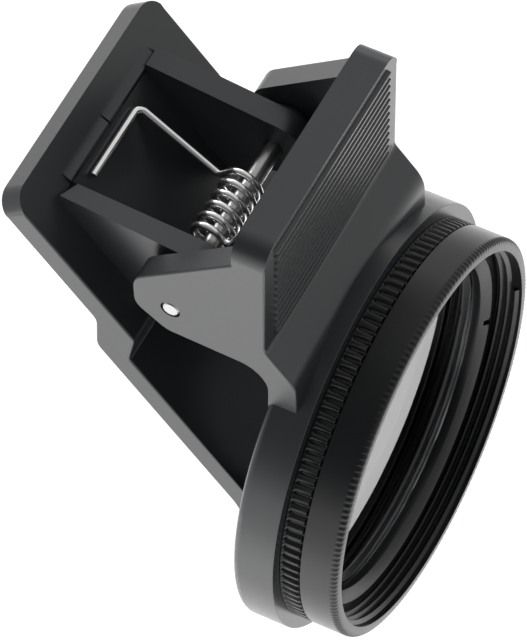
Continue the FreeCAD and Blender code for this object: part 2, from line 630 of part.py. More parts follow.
rear_bend = far_end + coil_heading(far_angle, 1) * value("rear_stub")
rest_back, rest_up = on_rear("rear_hook_along", "rear_set - wire_radius - wire_rest")
rear_path = bent_wire([
    far_end,
    rear_bend,
    FreeCAD.Vector(value("rear_hook_start"), value(rest_back), value(rest_up)),
    FreeCAD.Vector(-value(HOOK_END), value(rest_back), value(rest_up)),
], value("bend_radius"))

# The helix is made about Z and turned so that its axis lies along X
helix = Part.makeHelix(value("coil_pitch"), coil_length, value("coil_radius"), 0, True)
helix.rotate(FreeCAD.Vector(), FreeCAD.Vector(0, 0, 1), near_angle)
helix.rotate(FreeCAD.Vector(), FreeCAD.Vector(1, 1, 1), 120)
helix.translate(FreeCAD.Vector(-value(COIL_NEAR), COIL_Y, COIL_Z))
coil_wire = Part.Wire(helix.Edges)

spring_path = Part.Wire(Part.__sortEdges__(front_path.Edges + coil_wire.Edges + rear_path.Edges))
path_ends = spring_path.OrderedVertexes
first_run = path_ends[1].Point - path_ends[0].Point
wire_section = Part.Wire([Part.makeCircle(value("wire_radius"), path_ends[0].Point, first_run)])
torsion_spring = doc.addObject("Part::Feature", "torsion_spring")
torsion_spring.Label = "torsion_spring"
torsion_spring.Shape = spring_path.makePipeShell([wire_section], True, True)
print("spring volume against section times length",
      round(torsion_spring.Shape.Volume, 3),
      round(math.pi * value("wire_radius") ** 2 * spring_path.Length, 3))

# The filter's base ring: knurled flange, thread into the collar, bore for the front ring

base_ring = new_body("filter_base_ring")
SNAP_FRONT = BASE_FRONT + " + snap_place - snap_groove / 2"
SNAP_REAR = BASE_FRONT + " + snap_place + snap_groove / 2"
SPIGOT_END = RING_REAR + " + spigot_length"
base_corners = [
    (SPIGOT_BORE, BASE_FRONT),
    (RINGS_OUTSIDE, BASE_FRONT),
    (RINGS_OUTSIDE, COLLAR_FRONT),
    ("thread_radius - thread_slack", COLLAR_FRONT),
    ("thread_radius - thread_slack", COLLAR_FRONT + " + thread_length"),
    (SPIGOT_BORE + " - base_lip", COLLAR_FRONT + " + thread_length"),
    (SPIGOT_BORE + " - base_lip", SPIGOT_END + " + turn_gap"),
    (SPIGOT_BORE, SPIGOT_END + " + turn_gap"),
    (SPIGOT_BORE, SNAP_REAR),
    (SPIGOT_BORE + " + snap_depth", SNAP_REAR),
    (SPIGOT_BORE + " + snap_depth", SNAP_FRONT),
    (SPIGOT_BORE, SNAP_FRONT),
]
base_section = outline(base_ring, "base_section", "XY_Plane", base_corners)
base_turn = turn(base_ring, "Revolution", base_section)
slot_corners = [
    ("-slot_width / 2", RINGS_OUTSIDE + " - slot_depth"),
    ("slot_width / 2", RINGS_OUTSIDE + " - slot_depth"),
    ("slot_width / 2", RINGS_OUTSIDE + " + overcut"),
    ("-slot_width / 2", RINGS_OUTSIDE + " + overcut"),
]
slot = outline(base_ring, "slot", "XZ_Plane", slot_corners, "-(" + COLLAR_FRONT + ") + slot_land")
slot_cut = extrude(base_ring, "Pocket", slot, "flange_depth", "One side", True)
doc.recompute()
knurl = base_ring.newObject("PartDesign::PolarPattern", "knurl")
knurl.Originals = [slot_cut]
knurl.Axis = (base_section, ["V_Axis"])
knurl.Angle = 360
bind(knurl, "Occurrences", "slot_count")
base_ring.Tip = knurl

# The rotating front ring: lip, inner thread, seats for retainer and glass, sleeve

front_ring = new_body("filter_front_ring")
RETAINER_FRONT = RING_FRONT + " + front_thread"
ring_corners = [
    ("thread_radius - lip_step", RING_FRONT),
    (RINGS_OUTSIDE, RING_FRONT),
    (RINGS_OUTSIDE, RING_REAR),
    (SPIGOT_OUTSIDE, RING_REAR),
    (SPIGOT_OUTSIDE, SNAP_FRONT),
    (SPIGOT_OUTSIDE + " - snap_depth", SNAP_FRONT),
    (SPIGOT_OUTSIDE + " - snap_depth", SNAP_REAR),
    (SPIGOT_OUTSIDE, SNAP_REAR),
    (SPIGOT_OUTSIDE, SPIGOT_END),
    (GLASS_OUTSIDE + " - ledge_width", SPIGOT_END),
    (GLASS_OUTSIDE + " - ledge_width", GLASS_REAR),
    (GLASS_OUTSIDE + " + glass_slack", GLASS_REAR),
    (GLASS_OUTSIDE + " + glass_slack", GLASS_FRONT),
    (RETAINER_SEAT, GLASS_FRONT),
    (RETAINER_SEAT, RETAINER_FRONT),
    ("thread_radius - thread_depth", RETAINER_FRONT),
    ("thread_radius - thread_depth", RING_FRONT + " + lip_bevel"),
]
ring_section = outline(front_ring, "ring_section", "XY_Plane", ring_corners)
ring_turn = turn(front_ring, "Revolution", ring_section)
lip_edge = [("0", RING_FRONT, RINGS_OUTSIDE)]
lip_rounding = soften(front_ring, "Fillet", "lip_rounding", ring_turn, lip_edge, "lip_round")

# The snap ring: an open ring of wire in the two facing grooves

snap_ring = new_body("snap_ring")
snap_section = circle(snap_ring, "snap_section", "XY_Plane", SPIGOT_OUTSIDE + " + spigot_slack / 2",
                      BASE_FRONT + " + snap_place", "snap_wire_radius")
snap_turn = turn(snap_ring, "Revolution", snap_section, "360 - snap_opening")

# The retaining ring: conical front face and two notches for a spanner

retainer = new_body("glass_retaining_ring")
retainer_corners = [
    (RETAINER_SEAT + " - retainer_slack", RETAINER_FRONT),
    (RETAINER_SEAT + " - retainer_slack", RETAINER_FRONT + " + retainer_depth"),
    (RETAINER_SEAT + " - retainer_width", RETAINER_FRONT + " + retainer_depth"),
    (RETAINER_SEAT + " - retainer_width", RETAINER_FRONT + " + retainer_cone"),
]
retainer_section = outline(retainer, "retainer_section", "XY_Plane", retainer_corners)
retainer_turn = turn(retainer, "Revolution", retainer_section)


def notch_corner(reach, side):
    """A corner of one notch, at a reach from the axis, turned by the notch angle."""
    half = "(%s notch_width / 2)" % side
    return ("(%s) * cos(notch_turn * 1deg) - %s * sin(notch_turn * 1deg)" % (reach, half),
            "(%s) * sin(notch_turn * 1deg) + %s * cos(notch_turn * 1deg)" % (reach, half))


NOTCH_INNER = RETAINER_SEAT + " - notch_length"
NOTCH_OUTER = RETAINER_SEAT + " + overcut"
notch_corners = [
    notch_corner(NOTCH_INNER, "-"),
    notch_corner(NOTCH_OUTER, "-"),
    notch_corner(NOTCH_OUTER, "+"),
    notch_corner(NOTCH_INNER, "+"),
]
notch = outline(retainer, "notch", "XZ_Plane", notch_corners, "-(" + RETAINER_FRONT + ") + overcut")
notch_cut = extrude(retainer, "Pocket", notch, "notch_depth + overcut", "One side")
doc.recompute()
notches = retainer.newObject("PartDesign::PolarPattern", "notches")
notches.Originals = [notch_cut]
notches.Axis = (retainer_section, ["V_Axis"])
notches.Angle = 360
notches.Occurrences = 2
retainer.Tip = notches

# The glass: one flat disc with a small bevel

glass_disc = doc.addObject("Part::Cylinder", "glass_disc")
bind(glass_disc, "Radius", GLASS_OUTSIDE)
bind(glass_disc, "Height", "glass_thick")
filter_glass = doc.addObject("Part::Chamfer", "filter_glass")
filter_glass.Label = "filter_glass"
filter_glass.Base = glass_disc
doc.recompute()
filter_glass.Edges = [(index + 1, value("glass_bevel"), value("glass_bevel"))
                      for index, edge in enumerate(glass_disc.Shape.Edges)
                      if edge.Curve.TypeId == "Part::GeomCircle"]
filter_glass.Placement.Rotation = FreeCAD.Rotation(FreeCAD.Vector(1, 0, 0), -90)
bind(filter_glass, "Placement.Base.y", GLASS_FRONT + " + glass_slack / 2")

# The two rubber pads that grip the phone

front_pad = new_body("front_pad")
front_pad_corners = [
    (PAD_INSIDE + " + pad_slack", "-pad_proud - pad_seat"),
    (PAD_OUTSIDE + " - pad_slack", "-pad_proud - pad_seat"),
    (PAD_OUTSIDE + " - pad_slack", "0"),
    (PAD_INSIDE + " + pad_slack", "0"),
]
front_pad_section = outline(front_pad, "front_pad_section", "XY_Plane", front_pad_corners)
front_pad_turn = turn(front_pad, "Revolution", front_pad_section)

rear_pad = new_body("rear_pad")
rear_pad_corners = [
    ("-rear_pad_width / 2 + pad_slack", PAD_TOP + " - pad_slack"),
    ("rear_pad_width / 2 - pad_slack", PAD_TOP + " - pad_slack"),
    ("rear_pad_width / 2 - pad_slack", PAD_LOW + " + pad_slack"),
    ("-rear_pad_width / 2 + pad_slack", PAD_LOW + " + pad_slack"),
]
rear_pad_face = outline(rear_pad, "rear_pad_face", "XZ_Plane", rear_pad_corners,
                        "-(" + FOOT_IN + " + pad_seat)")
rear_pad_block = extrude(rear_pad, "Pad", rear_pad_face, "pad_seat + pad_proud", "One side")
pad_posts = []
for side in ("", "-"):
    for height in (PAD_TOP + " - pad_slack", PAD_LOW + " + pad_slack"):
        pad_posts.append((side + "(rear_pad_width / 2 - pad_slack)", FOOT_IN + " + pad_seat / 2", height))
rear_pad_round = soften(rear_pad, "Fillet", "rear_pad_round", rear_pad_block, pad_posts,
                        "rear_pad_corner - pad_slack")

doc.recompute()

PIECES = [front_arm, rear_arm, pivot_pin, torsion_spring, base_ring, front_ring, snap_ring,
          retainer, filter_glass, front_pad, rear_pad]

# Nothing is written unless every object is sound
for thing in doc.Objects:
    state = [word for word in thing.State if word in ("Invalid", "Error")]
    if state:
        raise RuntimeError("%s is %s" % (thing.Name, state))
for piece in PIECES:
    if piece.Shape.isNull() or not piece.Shape.isValid():
        raise RuntimeError("%s has no sound shape" % piece.Label)
    if len(piece.Shape.Solids) != 1:
        raise RuntimeError("%s has %d solids" % (piece.Label, len(piece.Shape.Solids)))

os.makedirs("parts", exist_ok=True)
for piece in PIECES:
    piece.Shape.exportStep("parts/%s.step" % piece.Label)
    box = piece.Shape.BoundBox
    print("%-22s volume %9.2f  x %7.2f %7.2f  y %7.2f %7.2f  z %7.2f %7.2f" % (
        piece.Label, piece.Shape.Volume, box.XMin, box.XMax, box.YMin, box.YMax, box.ZMin, box.ZMax))
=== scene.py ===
# %% [markdown]
# # A sprung clip with a round filter
# The object is a small black clip for a phone. Two moulded arms turn on a steel pin, a torsion
# spring presses them together, and a round glass filter screws into the collar of the front arm.
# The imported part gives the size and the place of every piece. This lesson keeps those places,
# softens the moulded edges, models the fine knurl and the thread that the plain solids leave out,
# and gives each piece the finish of the real one. Lengths are written in millimetres, and MM turns
# them into the scene's metres.

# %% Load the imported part
import json
import math

import bmesh
import bpy
from mathutils import Matrix, Vector

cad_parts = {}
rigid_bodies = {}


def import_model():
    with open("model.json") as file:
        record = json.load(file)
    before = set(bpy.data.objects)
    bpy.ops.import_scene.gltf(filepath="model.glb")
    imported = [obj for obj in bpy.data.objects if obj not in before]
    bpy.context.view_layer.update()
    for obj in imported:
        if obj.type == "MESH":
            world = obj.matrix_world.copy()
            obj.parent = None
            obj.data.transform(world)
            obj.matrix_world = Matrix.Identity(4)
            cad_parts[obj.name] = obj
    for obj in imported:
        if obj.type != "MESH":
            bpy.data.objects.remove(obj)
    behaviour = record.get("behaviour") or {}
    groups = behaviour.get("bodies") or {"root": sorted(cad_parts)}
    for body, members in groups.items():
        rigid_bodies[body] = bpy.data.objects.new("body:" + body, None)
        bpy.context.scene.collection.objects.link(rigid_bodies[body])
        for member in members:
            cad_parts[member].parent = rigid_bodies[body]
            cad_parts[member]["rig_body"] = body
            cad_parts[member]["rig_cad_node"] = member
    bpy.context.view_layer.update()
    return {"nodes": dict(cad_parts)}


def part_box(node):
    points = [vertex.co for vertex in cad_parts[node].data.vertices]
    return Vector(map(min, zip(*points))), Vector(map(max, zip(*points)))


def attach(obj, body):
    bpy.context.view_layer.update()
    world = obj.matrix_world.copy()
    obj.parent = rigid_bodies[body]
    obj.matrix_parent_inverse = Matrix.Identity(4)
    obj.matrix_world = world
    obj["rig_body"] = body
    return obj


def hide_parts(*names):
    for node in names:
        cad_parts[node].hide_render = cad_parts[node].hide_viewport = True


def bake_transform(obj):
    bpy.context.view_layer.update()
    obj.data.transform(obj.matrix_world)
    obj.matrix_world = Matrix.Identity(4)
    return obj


bpy.ops.object.select_all(action="SELECT")
bpy.ops.object.delete()
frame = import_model()
nodes = frame["nodes"]
MM = 0.001
print("pieces in the frame:", sorted(nodes))

# %% [markdown]
# ## The camera
# The photograph was taken from above and from the side with the hinge pin's near end. A long lens
# keeps the rings close to true ellipses, so the camera stands more than half a metre away.
# Its place and its directions were measured on the rings and on the clip's straight edges.

# %% Camera
CAMERA_PLACE = Vector((-279.50, -152.53, 469.38)) * MM
CAMERA_RIGHT = Vector((0.45990, -0.88753, -0.02782))
CAMERA_UP = Vector((0.73585, 0.36339, 0.57137))
LENS_LENGTH = 349.5

bpy.ops.object.camera_add()
camera = bpy.context.object
camera.name = "photo_camera"
camera.data.lens = LENS_LENGTH
camera.data.sensor_width = 36
backward = CAMERA_RIGHT.cross(CAMERA_UP)
turned = Matrix((CAMERA_RIGHT, CAMERA_UP, backward)).transposed()
camera.matrix_world = Matrix.Translation(CAMERA_PLACE) @ turned.to_4x4()
camera.data.clip_start = 0.01
camera.data.clip_end = 20
bpy.context.scene.camera = camera
print("camera at", [round(value, 4) for value in camera.location])

# %% [markdown]
# ## Sums with shader values
# A shader's maths is easier to read as a sum than as a web of nodes. The first small class wraps
# one output of a node, so that Python's own signs add the Math nodes. The second one adds any
# other node by its kind, to a material or to the world. The third one is a material with its main
# shader, and its methods say in plain words what a finish is made of.

# %% A value that can be added and multiplied
class Wire:
    """One number in a material; a sum with it adds a Math node."""

    def __init__(self, tree, socket):
        self.tree = tree
        self.socket = socket

    def sum_with(self, operation, first, second):
        made = self.tree.nodes.new("ShaderNodeMath")
        made.operation = operation
        for place, value in enumerate((first, second)):
            if isinstance(value, Wire):
                self.tree.links.new(value.socket, made.inputs[place])
            else:
                made.inputs[place].default_value = value
        return Wire(self.tree, made.outputs[0])

    def __add__(self, other):
        return self.sum_with("ADD", self, other)

    def __radd__(self, other):
        return self.sum_with("ADD", other, self)

    def __sub__(self, other):
        return self.sum_with("SUBTRACT", self, other)

    def __rsub__(self, other):
        return self.sum_with("SUBTRACT", other, self)

    def __mul__(self, other):
        return self.sum_with("MULTIPLY", self, other)

    def __rmul__(self, other):
        return self.sum_with("MULTIPLY", other, self)

    def most(self, other):
        return self.sum_with("MAXIMUM", self, other)


# %% Nodes by their kind
NOISE_FEATURE = 0.7


def pick(sockets, name):
    """The first socket with this name or identifier, where an underscore stands for a space."""
    wanted = name.replace("_", " ")
    for socket in sockets:
        if wanted in (socket.name, socket.identifier.replace("_", " ")):
            return socket
    raise KeyError(name)


class Nodes:
    """The nodes of a material or of the world; add() brings in any node by its kind."""

    def __init__(self, tree):
        self.tree = tree

    def feed(self, target, value):
        """Links a Wire to an input, or writes a plain value there."""
        if isinstance(value, Wire):
            self.tree.links.new(value.socket, target)
        else:
            target.default_value = value

    def add(self, kind, output, settings=None, **values):
        """One node: its settings first, then its inputs; gives the output or outputs asked for."""
        made = self.tree.nodes.new("ShaderNode" + kind)
        for name, value in (settings or {}).items():
            setattr(made, name, value)
        for name, value in values.items():
            self.feed(pick(made.inputs, name), value)
        if isinstance(output, tuple):
            return [Wire(self.tree, pick(made.outputs, name)) for name in output]
        return Wire(self.tree, pick(made.outputs, output))

    def object_place(self):
        """The place on the piece, in the piece's own axes."""
        return self.add("TexCoord", "Object")

    def length(self, vector):
        """The length of a vector."""
        return self.add("VectorMath", "Value", {"operation": "LENGTH"}, Vector=vector)

    def ramp(self, value, start, end, low, high):
        """A smooth run from low to high while the value runs from start to end."""
        return self.add("MapRange", "Result", {"interpolation_type": "SMOOTHSTEP"}, Value=value,
                        From_Min=start, From_Max=end, To_Min=low, To_Max=high)

    def grain(self, size, detail):
        """Noise with features about size millimetres wide, from 0 to 1."""
        return self.add("TexNoise", "Fac", Vector=self.object_place(),
                        Scale=NOISE_FEATURE / (size * MM), Detail=detail)

    def seen(self):
        """1 for a ray that the camera sees, straight or through the glass, and 0 for others."""
        straight, through_glass = self.add("LightPath", ("Is Camera Ray", "Is Transmission Ray"))
        return straight.most(through_glass)

    def mirrored(self):
        """1 for a ray that a glossy face throws back, and 0 for others."""
        return self.add("LightPath", "Is Glossy Ray")


# %% A finish
class Finish(Nodes):
    """A material with its main shader."""

    def __init__(self, name, colour, roughness, **fixed):
        self.material = bpy.data.materials.new(name)
        self.material.use_nodes = True
        super().__init__(self.material.node_tree)
        self.shader = self.tree.nodes["Principled BSDF"]
        self.set("Base Color", (*colour, 1))
        self.set("Roughness", roughness)
        for socket, value in fixed.items():
            self.set(socket.replace("_", " "), value)

    def set(self, socket, value):
        self.feed(self.shader.inputs[socket], value)

    def relief(self, height, depth):
        """Bump from a height between 0 and 1, depth millimetres deep."""
        bump = self.add("Bump", "Normal", Height=height, Strength=1.0, Distance=depth * MM)
        self.set("Normal", bump)

    def tell(self):
        """Prints the name of the finish and how many nodes it has."""
        print(self.material.name, "nodes:", len(self.tree.nodes))

    def vary_colour(self, low, high, amount):
        """Base colour that runs from low to high as amount runs from 0 to 1."""
        mixed = self.add("Mix", "Result_Color", {"data_type": "RGBA"},
                         Factor_Float=amount, A_Color=(*low, 1), B_Color=(*high, 1))
        self.set("Base Color", mixed)


# %% [markdown]
# ## The moulded plastic
# Both arms are one black plastic with a satin face. It is not a plain black: a very fine grain
# from the mould breaks the reflections, and a slow change of gloss keeps the large faces alive.

# %% Clip plastic
clip_plastic = Finish("clip plastic", colour=(0.023, 0.0257, 0.0295), roughness=0.32,
                      Specular_IOR_Level=0.75)
slow = clip_plastic.grain(size=9, detail=1.0)
fine = clip_plastic.grain(size=0.16, detail=3.0)
clip_plastic.set("Roughness", 0.27 + slow * 0.06 + fine * 0.05)
clip_plastic.vary_colour(low=(0.020, 0.0226, 0.0262), high=(0.026, 0.0288, 0.0328), amount=slow)
clip_plastic.relief(fine, depth=0.004)
clip_plastic.tell()

# %% [markdown]
# ## The anodised rings
# The filter's rings are turned from aluminium and anodised black. The lathe leaves very fine
# rings that follow the circle, so the noise is stretched round the axis by reading only the
# distance from that axis and the place along it.

# %% Black anodised aluminium
LATHE_SCALE = 9000.0
ring_black = Finish("black anodised aluminium", colour=(0.0060, 0.0071, 0.0088), roughness=0.33,
                    Specular_IOR_Level=0.42)
right, along, up = ring_black.add("SeparateXYZ", ("X", "Y", "Z"), Vector=ring_black.object_place())
across = ring_black.add("CombineXYZ", "Vector", X=right, Z=up)
turned_place = ring_black.add("CombineXYZ", "Vector", X=ring_black.length(across), Y=along)
lathe = ring_black.add("TexNoise", "Fac", Vector=turned_place, Scale=LATHE_SCALE, Detail=2.0)
speck = ring_black.grain(size=0.12, detail=2.0)
ring_black.set("Roughness", 0.26 + speck * 0.12)
ring_black.relief(lathe * 0.7 + speck * 0.3, depth=0.0025)
ring_black.tell()

# %% [markdown]
# ## Steel, glass and rubber
# The spring is drawn wire with a bright plating, the pin is plain steel, the filter is dark
# polished glass, and the pads are soft black rubber.

# %% Bright wire
spring_bright = Finish("bright spring wire", colour=(0.92, 0.92, 0.91), roughness=0.20, Metallic=1.0)
drawn = spring_bright.grain(size=0.22, detail=3.0)
spring_bright.set("Roughness", 0.16 + drawn * 0.12)
spring_bright.relief(drawn, depth=0.003)
spring_bright.tell()

# %% Pin steel
pin_steel = Finish("pin steel", colour=(0.46, 0.46, 0.45), roughness=0.26, Metallic=1.0)
ground = pin_steel.grain(size=0.3, detail=3.0)
pin_steel.set("Roughness", 0.22 + ground * 0.16)
pin_steel.relief(ground, depth=0.002)
pin_steel.tell()

# %% Filter glass
dark_glass = Finish("dark filter glass", colour=(0.200, 0.214, 0.224), roughness=0.015, IOR=1.52,
                    Transmission_Weight=1.0)
smear = dark_glass.grain(size=6, detail=2.0)
dark_glass.set("Roughness", 0.005 + smear * 0.025)
dark_glass.tell()

# %% Pad rubber
pad_rubber = Finish("pad rubber", colour=(0.022, 0.022, 0.022), roughness=0.72,
                    Specular_IOR_Level=0.35)
bumps = pad_rubber.grain(size=0.25, detail=3.0)
pad_rubber.set("Roughness", 0.62 + bumps * 0.2)
pad_rubber.relief(bumps, depth=0.02)
pad_rubber.tell()

# %% [markdown]
# ## Copies of the solids
# Both arms and the spring start as a copy of their solid. It arrives as many small triangles, so
# in the copy the doubled corners are merged and the flat faces joined, and a bevel then finds only
# the real edges. An operator acts on all that is selected, so each step first selects one piece.

# %% Select one piece
def alone(piece):
    """Selects one object and makes it the active one."""
    bpy.ops.object.select_all(action="DESELECT")
    piece.select_set(True)
    bpy.context.view_layer.objects.active = piece


# %% Copy a solid
DOUBLED_WITHIN = 0.002
FLAT_WITHIN = math.radians(0.6)


def mesh_copy(name, node):
    """A copy of a frame node as one closed mesh, with its flat faces joined up."""
    piece = node.copy()
    piece.data = node.data.copy()
    piece.name = name
    piece.parent = None
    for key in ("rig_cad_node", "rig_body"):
        if key in piece:
            del piece[key]
    bpy.context.scene.collection.objects.link(piece)
    alone(piece)
    bpy.ops.mesh.customdata_custom_splitnormals_clear()
    bpy.ops.object.mode_set(mode="EDIT")
    bpy.ops.mesh.select_all(action="SELECT")
    bpy.ops.mesh.remove_doubles(threshold=DOUBLED_WITHIN * MM)
    bpy.ops.mesh.dissolve_limited(angle_limit=FLAT_WITHIN)
    bpy.ops.object.mode_set(mode="OBJECT")
    return piece


# %% Round the edges
SHARP_FROM = math.radians(28)


def soften(piece, wanted, width, segments=3):
    """Rounds the sharp edges whose middle passes the test, by width millimetres."""
    alone(piece)
    bpy.ops.object.mode_set(mode="EDIT")
    bpy.ops.mesh.select_mode(type="EDGE")
    bpy.ops.mesh.select_all(action="DESELECT")
    mesh = bmesh.from_edit_mesh(piece.data)
    count = 0
    for edge in mesh.edges:
        middle = (edge.verts[0].co + edge.verts[1].co) / (2 * MM)
        between_two = len(edge.link_faces) == 2
        if between_two and edge.calc_face_angle() > SHARP_FROM and wanted(middle):
            edge.select = True
            count += 1
    bmesh.update_edit_mesh(piece.data)
    bpy.ops.mesh.bevel(offset=width * MM, segments=segments, profile=0.5, affect="EDGES")
    bpy.ops.object.mode_set(mode="OBJECT")
    print(piece.name, "softened edges:", count)


# %% Finish a piece
def finish_piece(piece, finish, body, angle=35):
    """Gives a new piece its finish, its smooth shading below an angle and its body."""
    piece.data.materials.clear()
    piece.data.materials.append(finish.material)
    alone(piece)
    bpy.ops.object.shade_smooth_by_angle(angle=math.radians(angle))
    flat_faces = piece.modifiers.new("flat faces", "WEIGHTED_NORMAL")
    flat_faces.keep_sharp = True
    bpy.ops.object.modifier_apply(modifier=flat_faces.name)
    if body:
        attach(piece, body)
    print(piece.name, "faces:", len(piece.data.polygons))


# %% [markdown]
# ## The front arm
# Each arm is one moulding, so it stays one piece. The solid has the right shape but a knife-sharp
# outline, which no moulding has: the light shows a thin bright line along such an edge. So the
# outline that the fingers touch is bevelled in a copy of the solid. The collar is the other way
# round. The solid has a small bevel at its front edge, and on the real clip that edge is nearly
# sharp, so its corners are drawn out first.

# %% The front arm's collar
NEAR = 0.02
COLLAR_OUTSIDE = 20.8
COLLAR_FRONT = -4.69
COLLAR_BEVEL = 0.3
COLLAR_EDGE = 0.04
front_shell = mesh_copy("front_arm_moulding", nodes["front_arm"])


def near(value, wanted):
    """Whether a measure in millimetres is the wanted one."""
    return abs(value - wanted) < NEAR


def square_collar(piece):
    """Draws the collar's front edge out and returns how many corners were moved."""
    moved = 0
    for vertex in piece.data.vertices:
        radius = math.hypot(vertex.co.x, vertex.co.z) / MM
        along = vertex.co.y / MM
        if near(radius, COLLAR_OUTSIDE - COLLAR_BEVEL) and near(along, COLLAR_FRONT):
            stretch = (COLLAR_OUTSIDE - COLLAR_EDGE) / radius
            vertex.co.x *= stretch
            vertex.co.z *= stretch
            moved += 1
        elif near(radius, COLLAR_OUTSIDE) and near(along, COLLAR_FRONT + COLLAR_BEVEL):
            vertex.co.y = (COLLAR_FRONT + COLLAR_EDGE) * MM
            moved += 1
    return moved


print("collar corners moved:", square_collar(front_shell))

# %% The front arm's outline
ARM_HALF = 12.7
PIN_BACK = 8.85
PIN_HEIGHT = 24.7
PIN_HOLE = 0.97
CLEAR_OF_HOLE = 0.1
CLEAR_OF_COLLAR = 0.2
ARM_ROUNDING = 0.22


def front_outline(place):
    """The outline of the arm's two sides, without the pin's holes and the collar's rim."""
    from_pin = math.hypot(place.y - PIN_BACK, place.z - PIN_HEIGHT)
    from_axis = math.hypot(place.x, place.z)
    on_side = abs(place.x) > ARM_HALF - NEAR
    outside_collar = from_axis > COLLAR_OUTSIDE + CLEAR_OF_COLLAR
    return on_side and outside_collar and from_pin > PIN_HOLE + CLEAR_OF_HOLE


soften(front_shell, front_outline, ARM_ROUNDING)
finish_piece(front_shell, clip_plastic, "front")
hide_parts("front_arm")

# %% [markdown]
# ## The rear arm
# The rear arm is a moulding like the front one. In the photograph the rib between its two cheeks
# lies lower and flatter than in the solid, its notch is narrower, its near end stops at the cheek,
# and the end of that cheek slopes away from it. That takes only a few corners, so they are moved
# in the copy before its edges are bevelled. Their places are told along the lever and out from it.

# %% Places on the rear lever
REAR_LEAN = math.radians(38.37)
RIB_START = 10.9
RIB_END = 13.45
rear_shell = mesh_copy("rear_arm_moulding", nodes["rear_arm"])


def on_lever(place):
    """How far a place in mm lies along the rear lever, and how far out, both from the pin."""
    back = place.y - PIN_BACK
    up = place.z - PIN_HEIGHT
    return (back * math.sin(REAR_LEAN) + up * math.cos(REAR_LEAN),
            back * math.cos(REAR_LEAN) - up * math.sin(REAR_LEAN))


lever_reach = max(on_lever(vertex.co / MM)[0] for vertex in rear_shell.data.vertices)
print("the lever's top from the pin, mm:", round(lever_reach, 2))

# %% The rib between the cheeks
RIB_HALF = 8.5
RIB_OUT = 7.45
RIB_NEAR_END = -7.1
REAR_TOP_START = 13.3
REAR_TOP_PLACE = (22.42, 29.95)
CREST_OUT = 7.0
CREST_PLACE = (21.41, 29.36)
NOTCH_HALF = 0.6
NOTCH_NARROWED = 0.1


def settle_rib(piece):
    """Lowers and flattens the rib, stops it at the near cheek and narrows its notch."""
    moved = 0
    for vertex in piece.data.vertices:
        place = vertex.co / MM
        along, out = on_lever(place)
        at_end = near(abs(place.x), RIB_HALF)
        at_notch = near(abs(place.x), NOTCH_HALF)
        if not (at_end or at_notch) or not RIB_START < along < RIB_END or out > RIB_OUT:
            continue
        if along > REAR_TOP_START:
            place.y, place.z = REAR_TOP_PLACE
        elif out < CREST_OUT:
            place.y, place.z = CREST_PLACE
        if at_notch:
            place.x = math.copysign(NOTCH_NARROWED, place.x)
        elif place.x < 0:
            place.x = RIB_NEAR_END
        vertex.co = place * MM
        moved += 1
    return moved


print("rib corners moved:", settle_rib(rear_shell))

# %% The near cheek's end
CHEEK_INSIDE = 6.9
CHEEK_CORNER_ALONG = 11.7
CHEEK_CORNER_OUT = 6.8
CHEEK_DRAWN_BACK = 0.9


def slant_cheek(piece):
    """Draws back the inner corner of the near cheek's top end, clear of the rib."""
    moved = 0
    for vertex in piece.data.vertices:
        place = vertex.co / MM
        along, out = on_lever(place)
        at_corner = near(along, CHEEK_CORNER_ALONG) and near(out, CHEEK_CORNER_OUT)
        if at_corner and near(place.x, -CHEEK_INSIDE):
            place.y -= CHEEK_DRAWN_BACK * math.sin(REAR_LEAN)
            place.z -= CHEEK_DRAWN_BACK * math.cos(REAR_LEAN)
            vertex.co = place * MM
            moved += 1
    return moved


print("cheek corners moved:", slant_cheek(rear_shell))

# %% The rear arm's edges
REAR_HALF = 12.9
RIB_EDGE_OUT = 7.3
RIB_EDGE_INSIDE = 1
RIB_EDGE_OUTSIDE = 6.5
RIB_ROUNDING = 0.12


def rear_outline(place):
    """The outline of the arm's two sides."""
    return abs(place.x) > REAR_HALF - NEAR


def rib_edges(place):
    """The long edges of the rib, not those at its notch and its ends."""
    along, out = on_lever(place)
    beside_notch = RIB_EDGE_INSIDE < abs(place.x) < RIB_EDGE_OUTSIDE
    return RIB_START < along < RIB_END and out < RIB_EDGE_OUT and beside_notch


soften(rear_shell, rear_outline, ARM_ROUNDING)
soften(rear_shell, rib_edges, RIB_ROUNDING, segments=2)
finish_piece(rear_shell, clip_plastic, "rear")
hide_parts("rear_arm")

# %% [markdown]
# ## Turned pieces
# The rings and the glass are turned on a lathe. The outline of a ring is drawn corner by corner
# with extrude, as by hand, and spun about the filter's axis. Where a pattern runs round a ring,
# only one narrow sector is spun and worked on, and the sector is then repeated.

# %% Draw an outline
def draw_outline(name, corners):
    """A closed loop of edges through corners given as radius and place along Y, in mm."""
    bpy.ops.object.select_all(action="DESELECT")
    bpy.ops.mesh.primitive_plane_add(size=MM)
    piece = bpy.context.object
    piece.name = name
    bpy.ops.object.mode_set(mode="EDIT")
    bpy.ops.mesh.select_mode(type="VERT")
    bpy.ops.mesh.select_all(action="SELECT")
    bpy.ops.mesh.merge(type="CENTER")
    here = Vector((0, 0, 0))
    for number, (radius, along) in enumerate(corners):
        there = Vector((radius, along, 0)) * MM
        if number == 0:
            bpy.ops.transform.translate(value=there)
        else:
            bpy.ops.mesh.extrude_region_move(TRANSFORM_OT_translate={"value": there - here})
        here = there
    bpy.ops.mesh.select_all(action="DESELECT")
    mesh = bmesh.from_edit_mesh(piece.data)
    for vertex in mesh.verts:
        if len(vertex.link_edges) == 1:
            vertex.select = True
    mesh.select_flush_mode()
    bmesh.update_edit_mesh(piece.data)
    bpy.ops.mesh.edge_face_add()
    return piece


# %% Turn an outline into a ring
SPUN_DOUBLES = 0.001
RING_DOUBLES = 0.004


